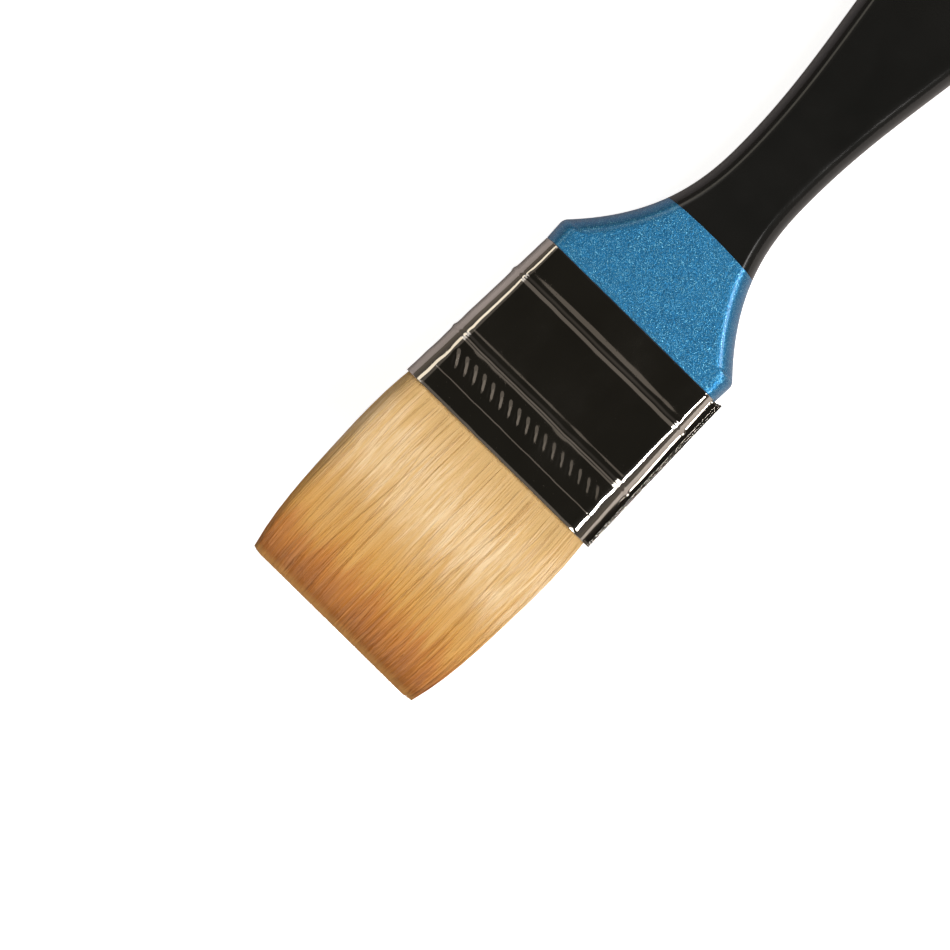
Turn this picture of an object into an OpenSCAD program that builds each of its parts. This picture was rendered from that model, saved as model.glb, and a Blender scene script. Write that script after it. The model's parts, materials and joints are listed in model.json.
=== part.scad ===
// Flat wash brush, lying flat on its back.
// The bristle tips point along +X, the width runs along Y and the thickness along Z.
// The origin is on the resting plane, under the middle of the brush.
// Along the brush, u is the distance from the mouth of the ferrule towards the end of the
// handle, and v is the distance from the mouth towards the tips.
// Every section is flat above and below, with half-elliptic edges. It is written
// [half width, half thickness, edge depth].

/* [Tuft] */
// Length of the filaments that shows beyond the ferrule
tuft_len = 36; // [24:0.5:60]
// How much wider the tuft grows than the mouth of the ferrule
swell = 0.2; // [-0.5:0.1:2]
// Distance from the mouth to the widest part of the tuft
swell_at = 10; // [6:0.5:14]
// How much narrower the tips are than the mouth of the ferrule
tip_loss = 4.8; // [0:0.1:12]
// Part of the loss in width that is even from the widest part to the tips
even_taper = 1.6; // [0:0.1:3]
// Thickness of the tuft at its tips
tip_t = 2.6; // [1:0.1:5]
// Distance from the mouth to the line where the tuft bends
bend_v = 5.6; // [5:0.1:12]
// Largest angle that the tuft bends to either side
bend_limit = 40; // [10:1:45]

/* [Ferrule] */
// Outer width at the mouth
mouth_w = 38.1; // [30:0.1:60]
// Outer thickness at the mouth
mouth_t = 8; // [6:0.1:10]
// Outer width at the handle
top_w = 35.8; // [26:0.1:58]
// Outer thickness at the handle
top_t = 9.6; // [7:0.1:12]
// Length from the mouth to the handle
ferrule_len = 29.3; // [24:0.1:50]
// Thickness of the sheet metal
sheet_t = 0.4; // [0.3:0.05:0.6]
// Depth of the rounded side edges at the mouth
mouth_edge = 3.8; // [2:0.1:4.5]
// Depth of the rounded side edges at the handle
top_edge = 2.4; // [1.5:0.1:4]

/* [Ferrule beads and knurl] */
// Distance from the mouth to the lower bead
low_bead_u = 9.9; // [9:0.1:12]
// Distance from the upper bead to the handle
high_bead_in = 6.8; // [4:0.1:9]
// Width of each bead
bead_w = 1.2; // [0.6:0.1:2]
// How far each bead stands out of the sheet
bead_h = 0.35; // [0.1:0.05:0.5]
// Distance from the mouth to the fine groove
groove_u = 3.4; // [2:0.1:4]
// Width of the fine groove
groove_w = 0.6; // [0.3:0.05:0.8]
// Depth of the fine groove
groove_depth = 0.1; // [0.05:0.01:0.15]
// Distance from the middle of the groove to the knurl strokes
knurl_past_groove = 0.8; // [0.5:0.1:2]
// Distance from the knurl strokes to the middle of the lower bead
knurl_short_of_bead = 1.7; // [0.8:0.1:2.5]
// Spacing of the knurl strokes
knurl_pitch = 1.85; // [1.2:0.05:4]
// Width of one knurl stroke
knurl_w = 0.5; // [0.2:0.05:0.8]
// Depth of one knurl stroke
knurl_depth = 0.14; // [0.05:0.01:0.2]
// Lean of the knurl strokes from the line of the brush
knurl_lean = 19; // [0:1:35]

/* [Ferrule seam] */
// Width of the folded seam
seam_w = 3.4; // [2:0.1:5]
// Height of the seam above the side edge at the mouth
seam_low = 0.6; // [0.3:0.05:1]
// Height of the seam above the side edge at the handle
seam_high = 1.2; // [0.4:0.05:1.6]
// How far the seam's corner stands past the ferrule's upper edge
seam_past = 0.3; // [0:0.05:0.6]

/* [Handle] */
// Length of the handle beyond the ferrule
handle_len = 134.7; // [110:0.1:220]
// Length of the tenon inside the ferrule
tenon_len = 15; // [10:0.1:16]
// Length of the straight side above the ferrule
shoulder_len = 3.7; // [2.5:0.1:5]
// Extra width of the shoulder at its corners
shoulder_flare = 0.4; // [0:0.1:1]
// Radius of the shoulder's corners
corner_r = 1.7; // [0.5:0.1:2.5]
// Distance from the ferrule to the neck
neck_at = 31.2; // [24:0.1:45]
// Width of the neck
neck_w = 13.7; // [9:0.1:18]
// Thickness of the neck
neck_t = 8.4; // [6:0.1:10]
// Distance from the neck to the widest part of the grip
grip_at = 51; // [40:0.5:64]
// Width of the grip
grip_w = 23.4; // [14:0.1:30]
// Thickness of the grip
grip_t = 9.9; // [8:0.1:12]
// Depth of the handle's rounded edges, square to its outline
handle_round = 2.65; // [1.5:0.05:4]
// Width of the handle where its end begins to round
end_w = 16.5; // [12:0.1:24]
// Thickness of the handle where its end begins to round
end_t = 7.6; // [5:0.1:9]
// Length of the rounded end
end_len = 7.5; // [4:0.1:12]

/* [Hanging hole] */
// Diameter of the hanging hole
hole_d = 6; // [3:0.1:8]
// Distance from the handle's end to the middle of the hole
hole_at = 10.5; // [7:0.1:16]

/* [Coats and fits] */
// Thickness of the lacquer
coat_t = 0.15; // [0.1:0.01:0.3]
// Length of the coloured band next to the ferrule
band_len = 17.6; // [8:0.1:24]
// Thickness of the glue round the tenon
glue_t = 0.15; // [0.1:0.01:0.3]
// Thickness of the resin round the heels of the filaments
resin_t = 0.3; // [0.2:0.05:0.6]
// Distance from the mouth to where the resin begins
resin_at = 4; // [2:0.1:5]
// Thickness of the resin between the heels and the tenon
resin_floor = 3.3; // [1:0.1:4]
// Free space between the two halves of the bending line
bend_gap = 0.3; // [0.2:0.05:0.5]

/* [Hidden] */

wood_colour = [0.80, 0.66, 0.46];
black_colour = [0.10, 0.10, 0.10];
blue_colour = [0.16, 0.46, 0.68];
nickel_colour = [0.72, 0.72, 0.70];
glue_colour = [0.93, 0.90, 0.80];
resin_colour = [0.86, 0.74, 0.45];
root_colour = [0.84, 0.69, 0.44];
tuft_colour = [0.80, 0.60, 0.32];

round_steps = 14;    // steps round each half-elliptic edge
fine = 64;           // sides of a round shape
eps = 0.01;          // overlap that makes a cut clean
flare_power = 2.4;   // how sharply the handle flares from its neck to its shoulder
edge_share = 0.9;    // largest edge depth, as a share of the half width
end_t_share = 0.75;  // how much of the end's rounding its thickness takes
end_edge_share = 0.5;  // how much of the end's rounding its edge depth takes
end_stop = 0.985;    // share of the rounded end's ellipse that is kept, so that it ends in a small flat
taper_power = 4;     // how late the tuft's sides turn in towards its tips
thin_power = 1.4;    // how late the tuft grows thin towards its tips
lead_share = 0.25;   // where the tuft leaves its barrel, as a share of the barrel's radius
seam_sink = 0.75;    // how deep the seam is set into the sheet, as a share of its thickness

overall_len = tuft_len + ferrule_len + handle_len;
mouth_x = overall_len / 2 - tuft_len;
end_u = ferrule_len + handle_len;
neck_u = ferrule_len + neck_at;
grip_u = neck_u + grip_at;
corner_u = ferrule_len + shoulder_len;
band_u = ferrule_len + band_len;
tenon_u = ferrule_len - tenon_len;
heel_u = tenon_u - resin_floor;
hole_u = end_u - hole_at;
high_bead_u = ferrule_len - high_bead_in;
swell_w = mouth_w + swell;
tip_w = mouth_w - tip_loss;

bead_seat = max(ferrule_half_t(low_bead_u), ferrule_half_t(high_bead_u)) + bead_h;
middle_z = max(bead_seat, grip_t / 2, top_t / 2);

// ---- sections ----

function mix(a, b, t) = a + (b - a) * t;
function ease(t) = (1 - cos(180 * min(max(t, 0), 1))) / 2;
function inset(s, by) = [s[0] - by, s[1] - by, s[2] - by];
function shallow(s) = [s[0], s[1], min(s[2], s[0] * edge_share)];

// The ferrule's sheet, without its beads
function ferrule_half_t(u) = mix(mouth_t, top_t, u / ferrule_len) / 2;
function ferrule_half_w(u) = mix(mouth_w, top_w, u / ferrule_len) / 2;
function ferrule_edge(u) = mix(mouth_edge, top_edge, u / ferrule_len);
function ferrule_section(u) = [ferrule_half_w(u), ferrule_half_t(u), ferrule_edge(u)];
function bore_section(u) = inset(ferrule_section(u), sheet_t);

// A bead or a groove rises and falls as a cosine over its width
function rise(u, middle, width, height) =
    abs(u - middle) < width / 2 ? height * (1 + cos(360 * (u - middle) / width)) / 2 : 0;
function beads(u) = rise(u, low_bead_u, bead_w, bead_h) + rise(u, high_bead_u, bead_w, bead_h);
function outer_section(u) =
    inset(ferrule_section(u), rise(u, groove_u, groove_w, groove_depth) - beads(u));
function inner_section(u) = inset(bore_section(u), -beads(u));

// Half width of the handle: straight flaring side, rounded corner, flare down to the neck,
// swell up to the grip, taper to the end and rounded end
flare_len = neck_at - shoulder_len;
flare_rise = (top_w + shoulder_flare - neck_w) / 2;
function side_half_w(u) = (top_w + shoulder_flare * (u - ferrule_len) / shoulder_len) / 2;
function flare_half_w(u) = neck_w / 2 + flare_rise * pow(max(neck_u - u, 0) / flare_len, flare_power);

// The corner turns by this angle, and its arc starts this far from where the sides would meet
corner_turn = atan(flare_power * flare_rise / flare_len) + atan(shoulder_flare / 2 / shoulder_len);
corner_reach = corner_r * tan(corner_turn / 2);
corner_cut = corner_r - sqrt(corner_r * corner_r - corner_reach * corner_reach);
function corner_drop(u) =
    let (away = abs(u - corner_u) / (u < corner_u ? corner_reach : corner_reach * cos(corner_turn)))
    corner_cut * pow(max(1 - away, 0), 2);
function grip_half_w(u) = mix(neck_w, grip_w, ease((u - neck_u) / grip_at)) / 2;
function tail_half_w(u) =
    mix(grip_w, end_w, ease((u - grip_u) / (end_u - end_len - grip_u) * 0.5) * 2) / 2;
function handle_half_w(u) =
    u < corner_u ? side_half_w(u) - corner_drop(u) :
    u < neck_u ? flare_half_w(u) - corner_drop(u) :
    u < grip_u ? grip_half_w(u) : tail_half_w(u);

function handle_half_t(u) =
    u < neck_u ? mix(top_t, neck_t, ease((u - corner_u) / (neck_u - corner_u))) / 2 :
    u < grip_u ? mix(neck_t, grip_t, ease((u - neck_u) / grip_at)) / 2 :
    mix(grip_t, end_t, ease((u - grip_u) / (end_u - grip_u))) / 2;

// The edges' depth grows from the ferrule's to the handle's own along the shoulder. It is measured
// across the brush, so it is larger where the outline slants.
function handle_slope(u) = (handle_half_w(u + eps) - handle_half_w(u - eps)) / (2 * eps);
function handle_edge(u) =
    mix(top_edge, handle_round, ease((u - ferrule_len) / shoulder_len)) * norm([1, handle_slope(u)]);

function end_scale(u, by) =
    let (t = end_stop * max(u - (end_u - end_len), 0) / (end_len - by))
    sqrt(1 - t * t);

function handle_section(u, by) =
    let (s = inset([handle_half_w(u), handle_half_t(u), handle_edge(u)], by),
         k = end_scale(u, by))
    shallow([s[0] * k, s[1] * mix(1, k, end_t_share), s[2] * mix(1, k, end_edge_share)]);

// The tuft, outside the ferrule
tuft_mouth = bore_section(0);
function swelling_half_w(v) = mix(swell_w / 2, tuft_mouth[0], pow(1 - v / swell_at, 3));
function narrowing_half_w(v) =
    let (t = (v - swell_at) / (tuft_len - swell_at))
    (swell_w - even_taper * t - (swell_w - even_taper - tip_w) * pow(t, taper_power)) / 2;
function tuft_half_w(v) = v < swell_at ? swelling_half_w(v) : narrowing_half_w(v);
function tuft_half_t(v) =
    mix(tuft_mouth[1], tip_t / 2, pow(max(v - bend_v, 0) / (tuft_len - bend_v), thin_power));
function tuft_section(v) = shallow([tuft_half_w(v), tuft_half_t(v), min(tuft_mouth[2], tuft_half_t(v))]);

// ---- solids from sections ----

function ring(x, s) = concat(
    [for (i = [0 : round_steps]) let (a = -90 + 180 * i / round_steps)
        [x, s[0] - s[2] + s[2] * cos(a), middle_z + s[1] * sin(a)]],
    [for (i = [0 : round_steps]) let (a = 90 + 180 * i / round_steps)
        [x, s[2] - s[0] + s[2] * cos(a), middle_z + s[1] * sin(a)]]
);
ring_points = 2 * (round_steps + 1);

function side_faces(rings, start, flip) = [
    for (k = [0 : rings - 2]) for (i = [0 : ring_points - 1])
        let (j = (i + 1) % ring_points,
             a = start + k * ring_points + i, b = start + k * ring_points + j,
             c = b + ring_points, d = a + ring_points)
        each flip ? [[a, c, b], [a, d, c]] : [[a, b, c], [a, c, d]]
];
function cap(start, flip) =
    [flip ? [for (i = [ring_points - 1 : -1 : 0]) start + i]
          : [for (i = [0 : ring_points - 1]) start + i]];
function rim(first, second) = [
    for (i = [0 : ring_points - 1]) let (j = (i + 1) % ring_points)
        each [[first + i, second + i, second + j], [first + i, second + j, first + j]]
];

// A solid through sections. Each station is [x, section], in order of falling x.
module loft(stations) {
    count = len(stations);
    polyhedron(
        points = [for (s = stations) each ring(s[0], s[1])],
        faces = concat(
            side_faces(count, 0, false),
            cap(0, true),
            cap((count - 1) * ring_points, false)
        )
    );
}

// A tube between outer and inner sections, closed at its far end when closed is true
module sleeve(outer, inner, closed = false) {
    outer_count = len(outer);
    inner_count = len(inner);
    inside = outer_count * ring_points;
    outer_last = (outer_count - 1) * ring_points;
    inner_last = inside + (inner_count - 1) * ring_points;
    polyhedron(
        points = [for (s = concat(outer, inner)) each ring(s[0], s[1])],
        faces = concat(
            side_faces(outer_count, 0, false),
            side_faces(inner_count, inside, true),
            rim(0, inside),
            closed ? concat(cap(outer_last, false), cap(inner_last, true))
                   : rim(inner_last, outer_last)
        )
    );
}

// ---- stations along the brush ----

function u_steps(from, to, count) = [for (i = [0 : count]) mix(from, to, i / count)];
function after_first(list) = [for (i = [1 : len(list) - 1]) list[i]];

function handle_us(by) = concat(
    [ferrule_len],
    u_steps(corner_u - corner_reach, corner_u, 3),
    u_steps(corner_u + corner_reach / 3, corner_u + corner_reach, 2),
    after_first(u_steps(corner_u + corner_reach, neck_u, 13)),
    after_first(u_steps(neck_u, grip_u, 10)),
    after_first(u_steps(grip_u, end_u - end_len, 8)),
    [for (i = [1 : 8]) end_u - end_len + (end_len - by) * sin(90 * i / 8)]
);

// The edge of the coloured band is a station of every piece of the handle
function banded_us(by) = let (us = handle_us(by)) concat(
    [for (u = us) if (u < band_u - eps) u], [band_u], [for (u = us) if (u > band_u + eps) u]
);
function handle_stations(low, high, by) =
    [for (u = banded_us(by)) if (u > low - eps && u < high + eps) [mouth_x - u, handle_section(u, by)]];

// The ferrule and what is inside it share their stations, so that their faces lie together
function sorted(list) = len(list) == 0 ? [] : concat(
    sorted([for (x = list) if (x < list[0] - eps) x]),
    [list[0]],
    sorted([for (x = list) if (x > list[0] + eps) x])
);
function rise_us(middle, width, steps) = [for (i = [-steps : steps]) middle + width * i / steps / 2];
ferrule_us = sorted(concat(
    [0, resin_at, heel_u, tenon_u, ferrule_len], rise_us(groove_u, groove_w, 2),
    rise_us(low_bead_u, bead_w, 4), rise_us(high_bead_u, bead_w, 4)
));
function bore_stations(low, high, by) =
    [for (u = ferrule_us) if (u > low - eps && u < high + eps) [mouth_x - u, inset(bore_section(u), by)]];

// ---- handle ----

module hanging_hole() {
    translate([mouth_x - hole_u, 0, -eps])
        cylinder(d = hole_d, h = 2 * middle_z + 2 * eps, $fn = fine);
}

module wooden_handle() {
    color(wood_colour)
        difference() {
            loft(concat(
                bore_stations(tenon_u, ferrule_len, glue_t),
                handle_stations(ferrule_len, end_u, coat_t)
            ));
            hanging_hole();
        }
}

module black_lacquer() {
    color(black_colour)
        difference() {
            sleeve(
                handle_stations(band_u, end_u, 0),
                handle_stations(band_u, end_u, coat_t),
                closed = true
            );
            hanging_hole();
        }
}

module blue_lacquer() {
    color(blue_colour)
        sleeve(
            handle_stations(ferrule_len, band_u, 0),
            handle_stations(ferrule_len, band_u, coat_t)
        );
}

module tenon_glue() {
    color(glue_colour)
        sleeve(
            bore_stations(tenon_u, ferrule_len, 0),
            bore_stations(tenon_u, ferrule_len, glue_t)
        );
}

// ---- ferrule ----

// One layer of the folded seam, a bar whose heights grow from the mouth to the handle.
// The heights are [at the mouth, at the handle], above the side edge.
module seam_layer(half_w, inner, outer, past) {
    at_mouth = [mouth_w / 2 + inner[0], mouth_w / 2 + outer[0]];
    at_handle = [top_w / 2 + inner[1], top_w / 2 + outer[1]];
    points = [
        for (end = [[mouth_x, at_mouth], [mouth_x - ferrule_len - past, at_handle]])
            for (corner = [[0, -1], [1, -1], [1, 1], [0, 1]])
                [end[0], end[1][corner[0]], middle_z + corner[1] * half_w]
    ];
    polyhedron(points, [
        [0, 3, 2, 1], [4, 5, 6, 7], [0, 1, 5, 4], [1, 2, 6, 5], [2, 3, 7, 6], [3, 0, 4, 7]
    ]);
}

module seam() {
    root = -sheet_t * seam_sink;
    step = [seam_low / 2, seam_high / 2];
    seam_layer(seam_w / 2, [root, root], step, 0);
    seam_layer(seam_w / 2 - sheet_t, step - [eps, eps], 2 * step, seam_past);
}

// The knurl strokes fill the flat face between the groove and the lower bead
knurl_from = groove_u + knurl_past_groove;
knurl_len = low_bead_u - knurl_short_of_bead - knurl_from;
knurl_u = knurl_from + knurl_len / 2;
knurl_room = 2 * (ferrule_half_w(knurl_u) - ferrule_edge(knurl_u)) - knurl_len * sin(knurl_lean);
knurl_gaps = floor(knurl_room / knurl_pitch);

module knurl(side) {
    slope = side * atan((top_t - mouth_t) / 2 / ferrule_len);
    for (i = [0 : knurl_gaps])
        translate([
            mouth_x - knurl_u,
            (i - knurl_gaps / 2) * knurl_pitch,
            middle_z + side * ferrule_half_t(knurl_u)
        ])
            rotate([0, slope, 0])
                rotate([0, 0, side * knurl_lean])
                    cube([knurl_len, knurl_w, 2 * knurl_depth], center = true);
}

module ferrule() {
    color(nickel_colour)
        difference() {
            union() {
                sleeve(
                    [for (u = ferrule_us) [mouth_x - u, outer_section(u)]],
                    [for (u = ferrule_us) [mouth_x - u, inner_section(u)]]
                );
                seam();
            }
            knurl(1);
            knurl(-1);
        }
}

// ---- filaments ----

module heel_resin() {
    color(resin_colour)
        difference() {
            loft(bore_stations(resin_at, tenon_u, 0));
            loft(concat(
                [[mouth_x - resin_at + eps, inset(bore_section(resin_at - eps), resin_t)]],
                bore_stations(resin_at, heel_u, resin_t)
            ));
        }
}

root_reach = bend_v - (tuft_half_t(bend_v) + bend_gap) * sin(bend_limit);

// The barrel that the tuft turns on: its section at the bending line, spun about that line
module bend_barrel(gap) {
    section = inset(tuft_section(bend_v), -gap);
    steps = round_steps / 2;
    far_end = [for (i = [0 : steps]) let (a = 90 * i / steps)
        [section[1] * cos(a), section[0] - section[2] + section[2] * sin(a)]];
    near_end = [for (i = [steps : -1 : 0]) [far_end[i][0], -far_end[i][1]]];
    translate([mouth_x + bend_v, 0, middle_z])
        rotate([90, 0, 0])
            rotate_extrude($fn = fine)
                polygon(concat(near_end, far_end));
}

module tuft_root() {
    color(root_colour)
        difference() {
            loft(concat(
                [for (v = [root_reach, root_reach / 2]) [mouth_x + v, tuft_section(v)]],
                bore_stations(0, resin_at, 0),
                bore_stations(resin_at, heel_u, resin_t)
            ));
            bend_barrel(bend_gap);
        }
}

module tuft() {
    lead = tuft_half_t(bend_v) * lead_share;
    color(tuft_colour)
        union() {
            loft(concat(
                [for (v = u_steps(tuft_len, bend_v + lead, 12)) [mouth_x + v, tuft_section(v)]],
                [[mouth_x + bend_v - lead, inset(tuft_section(bend_v), lead)]]
            ));
            bend_barrel(0);
        }
}

wooden_handle();
black_lacquer();
blue_lacquer();
ferrule();
tenon_glue();
heel_resin();
tuft_root();
tuft();
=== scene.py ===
"""Looks of a flat wash brush: lacquered handle, nickel-plated ferrule and a tuft of fine filaments."""

import json
import math

import bmesh
import bpy
import numpy as np
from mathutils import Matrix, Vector


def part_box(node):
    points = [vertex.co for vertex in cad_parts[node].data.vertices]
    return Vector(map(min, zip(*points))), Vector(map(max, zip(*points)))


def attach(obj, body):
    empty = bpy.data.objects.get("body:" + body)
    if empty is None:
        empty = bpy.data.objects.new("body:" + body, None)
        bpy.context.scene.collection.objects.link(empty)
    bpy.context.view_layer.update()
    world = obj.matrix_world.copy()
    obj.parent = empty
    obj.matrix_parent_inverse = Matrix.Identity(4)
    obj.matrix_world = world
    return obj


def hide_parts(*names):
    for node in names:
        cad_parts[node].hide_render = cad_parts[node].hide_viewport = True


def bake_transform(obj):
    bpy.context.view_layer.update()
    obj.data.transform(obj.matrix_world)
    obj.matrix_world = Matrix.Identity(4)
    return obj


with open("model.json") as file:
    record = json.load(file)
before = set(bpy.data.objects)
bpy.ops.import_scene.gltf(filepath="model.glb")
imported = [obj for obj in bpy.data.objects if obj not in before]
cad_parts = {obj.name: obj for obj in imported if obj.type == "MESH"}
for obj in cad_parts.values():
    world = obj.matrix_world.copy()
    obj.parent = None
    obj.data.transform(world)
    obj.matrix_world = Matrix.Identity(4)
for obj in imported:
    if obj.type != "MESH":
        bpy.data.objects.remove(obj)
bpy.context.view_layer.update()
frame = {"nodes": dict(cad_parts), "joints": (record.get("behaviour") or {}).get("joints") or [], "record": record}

# ---- sizes, in millimetres ----
# Along the brush, u runs from the ferrule's mouth to the handle's end, and v from the mouth to the tips.

MM = 0.001
SEED = 20
record = frame["record"]
joint = frame["joints"][0]


def low(node):
    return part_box(node)[0] / MM


def high(node):
    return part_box(node)[1] / MM


mouth_x = high("ferrule").x
middle_z = joint["pos_m"][2] / MM
bend_v = joint["pos_m"][0] / MM - mouth_x
tuft_len = high("tuft").x - mouth_x
ferrule_len = mouth_x - high("blue_lacquer").x
band_u = mouth_x - high("black_lacquer").x
end_u = mouth_x - low("black_lacquer").x
mouth_w = -2 * low("ferrule").y
hole = next(m for m in record["mounts"] if m["name"] == "hanging_hole")
hole_x = hole["pos_m"][0] / MM
hole_r = hole["dims"]["r_mm"]
hole_half_t = hole["dims"]["length_mm"] / 2

# Sizes that a box doesn't give, named and mostly valued as in the CAD source. The ferrule's rounded edges
# differ from side to side and its relief is gentler here, because a mirror finish shows every slope.
mouth_t = 8.0
top_w = 35.8
top_t = 9.6
sheet_t = 0.4
lip_r = 0.12                # rounding of the sheet's outer corners
left_edge = (3.5, 2.55)     # depth of the rounded edge away from the seam, at the mouth and at the handle
right_edge = (4.2, 2.1)     # depth of the rounded edge at the seam, at the mouth and at the handle
low_bead_u = 9.9
high_bead_u = 22.5
bead_w = 1.5
bead_h = 0.17
groove_u = 3.4
groove_w = 0.6
groove_depth = 0.02
knurl_u = 6.2
knurl_len = 4.0
knurl_count = 17
knurl_pitch = 1.85
knurl_depth = 0.12
knurl_w = 0.5
knurl_lean = 21.0
knurl_swing = 0.12          # how far a stroke swings aside, as an S
knurl_fade = 0.85           # share of half a stroke over which its depth grows from nothing
knurl_faint = 0.7           # depth of the stroke next to the seam, as a share of the first one's
seam_low = 0.6
seam_high = 1.2
seam_past = 0.3
seam_root_in = 0.75         # how far the seam's root reaches into the side edge
shoulder_len = 3.7
shoulder_flare = 0.4
corner_r = 1.7
neck_u = ferrule_len + 31.2
neck_w = 13.7
neck_t = 8.4
grip_u = neck_u + 51
grip_w = 23.4
grip_t = 9.9
end_w = 16.5
end_t = 7.6
end_len = 7.5
end_t_share = 0.75          # how much of the end's rounding its thickness takes
end_edge_share = 0.5        # how much of the end's rounding its edge depth takes
end_least = 0.02            # the rounded end stops at this share of its size, short of a point
edge_share = 0.9            # largest edge depth, as a share of the half width
handle_round = 2.65         # depth of the handle's rounded edges, square to its outline
coat_t = 0.15
swell_w = mouth_w + 0.2
swell_at = 10.0
tip_w = mouth_w - 4.8
even_taper = 1.6
tip_t = 2.6
flare_power = 2.4
taper_power = 4
thin_power = 1.4
tip_gap = 0.25              # how far the longest filament stops short of the tuft's length
tip_corner_w = 0.9          # width of each corner of the tips, where the filaments are shorter
tip_corner_cut = 0.25       # how much shorter they are there
band_bow = 0.4              # how much nearer the ferrule the coloured band ends at the sides


# ---- profiles ----

def mix(a, b, t):
    return a + (b - a) * t


def ease(t):
    return (1 - np.cos(np.pi * np.clip(t, 0, 1))) / 2


def bump(u, middle, width, height):
    near = np.abs(u - middle) < width / 2
    return np.where(near, height * (1 + np.cos(2 * np.pi * (u - middle) / width)) / 2, 0)


def bell(x, width):
    return np.exp(-((x / width) ** 2))


def waves(x, seed, longest, count=6):
    """A smooth random line of about unit height, its longest wave given."""
    rng = np.random.default_rng(SEED + seed)
    total = np.zeros_like(x, dtype=float)
    for k in range(count):
        length = longest / (1 + 0.8 * k)
        total += np.sin(2 * np.pi * x / length + rng.uniform(0, 2 * np.pi)) / (1 + k)
    return total / 1.5


def ferrule_profile(u):
    t = u / ferrule_len
    return mix(mouth_w, top_w, t) / 2, mix(mouth_t, top_t, t) / 2, mix(*left_edge, t), mix(*right_edge, t)


flare_len = neck_u - ferrule_len - shoulder_len
flare_rise = (top_w + shoulder_flare - neck_w) / 2
corner_u = ferrule_len + shoulder_len
corner_turn = math.atan(flare_power * flare_rise / flare_len) + math.atan(shoulder_flare / 2 / shoulder_len)
corner_reach = corner_r * math.tan(corner_turn / 2)
corner_cut = corner_r - math.sqrt(corner_r ** 2 - corner_reach ** 2)


def handle_half_w(u):
    side = (top_w + shoulder_flare * (u - ferrule_len) / shoulder_len) / 2
    flare = neck_w / 2 + flare_rise * (np.maximum(neck_u - u, 0) / flare_len) ** flare_power
    reach = np.where(u < corner_u, corner_reach, corner_reach * math.cos(corner_turn))
    drop = corner_cut * np.maximum(1 - np.abs(u - corner_u) / reach, 0) ** 2
    grip = mix(neck_w, grip_w, ease((u - neck_u) / (grip_u - neck_u))) / 2
    tail = mix(grip_w, end_w, 2 * ease(0.5 * (u - grip_u) / (end_u - end_len - grip_u))) / 2
    return np.select([u < corner_u, u < neck_u, u < grip_u], [side - drop, flare - drop, grip], tail)


def handle_half_t(u):
    shoulder = mix(top_t, neck_t, ease((u - corner_u) / (neck_u - corner_u)))
    grip = mix(neck_t, grip_t, ease((u - neck_u) / (grip_u - neck_u)))
    tail = mix(grip_t, end_t, ease((u - grip_u) / (end_u - grip_u)))
    return np.select([u < neck_u, u < grip_u], [shoulder, grip], tail) / 2


def handle_edge(u, at_ferrule):
    step = 0.05
    slope = (handle_half_w(u + step) - handle_half_w(u - step)) / (2 * step)
    depth = mix(at_ferrule, handle_round, ease((u - ferrule_len) / shoulder_len))
    return depth * np.sqrt(1 + slope ** 2)


def handle_profile(u, inset):
    t = np.maximum(u - (end_u - end_len), 0) / (end_len - inset)
    scale = np.sqrt(np.maximum(1 - t * t, end_least ** 2))
    half_w = (handle_half_w(u) - inset) * scale
    half_t = (handle_half_t(u) - inset) * mix(1, scale, end_t_share)
    edges = [
        np.minimum((handle_edge(u, depth[1]) - inset) * mix(1, scale, end_edge_share), half_w * edge_share)
        for depth in (left_edge, right_edge)
    ]
    return half_w, half_t, edges[0], edges[1]


def tuft_profile(v):
    """The tuft's section, which starts as the ferrule's bore and narrows and thins towards the tips."""
    bore_w = mouth_w / 2 - sheet_t
    bore_t = mouth_t / 2 - sheet_t
    growing = mix(swell_w / 2, bore_w, np.maximum(1 - v / swell_at, 0) ** 3)
    t = np.maximum(v - swell_at, 0) / (tuft_len - swell_at)
    narrowing = (swell_w - even_taper * t - (swell_w - even_taper - tip_w) * t ** taper_power) / 2
    half_w = np.where(v < swell_at, growing, narrowing)
    half_w = np.where(v < 0, bore_w, half_w)
    along = np.maximum(v - bend_v, 0) / (tuft_len - bend_v)
    half_t = mix(bore_t, tip_t / 2, along ** thin_power)
    edge = np.minimum(left_edge[0] - sheet_t, half_t)
    return half_w, half_t, edge, edge


# ---- sections: flats above and below, and half-elliptic edges ----

def section_marks(edge_steps, flat_steps):
    """Places round a section: the part (0 right edge, 1 top, 2 left edge, 3 bottom) and how far along it."""
    edge = np.linspace(0, 1, edge_steps + 1)
    flat = np.linspace(0, 1, flat_steps + 1)[1:-1]
    part = np.concatenate([np.full(len(s), k) for k, s in enumerate([edge, flat, edge, flat])])
    return part, np.concatenate([edge, flat, edge, flat])


def section_points(profile, marks, inset=0.0):
    """y, z and the outward normal of each mark, for profile arrays that broadcast against the marks."""
    half_w, half_t, left, right = [p - inset for p in profile]
    part, t = marks
    angle = np.pi * (t - 0.5) + np.pi * (part == 2)
    depth = np.where(part < 2, right, left)
    edge_y = np.where(part == 0, half_w - right, left - half_w) + depth * np.cos(angle)
    across = np.where(part == 1, t, 1 - t)
    flat_y = mix(half_w - right, left - half_w, across)
    is_edge = (part == 0) | (part == 2)
    upward = np.where(part == 1, 1.0, -1.0)
    y = np.where(is_edge, edge_y, flat_y)
    z = np.where(is_edge, half_t * np.sin(angle), half_t * upward)
    ny = np.where(is_edge, np.cos(angle) / depth, 0)
    nz = np.where(is_edge, np.sin(angle) / half_t, upward)
    size = np.hypot(ny, nz)
    return y, z, ny / size, nz / size


# ---- meshes ----

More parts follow.
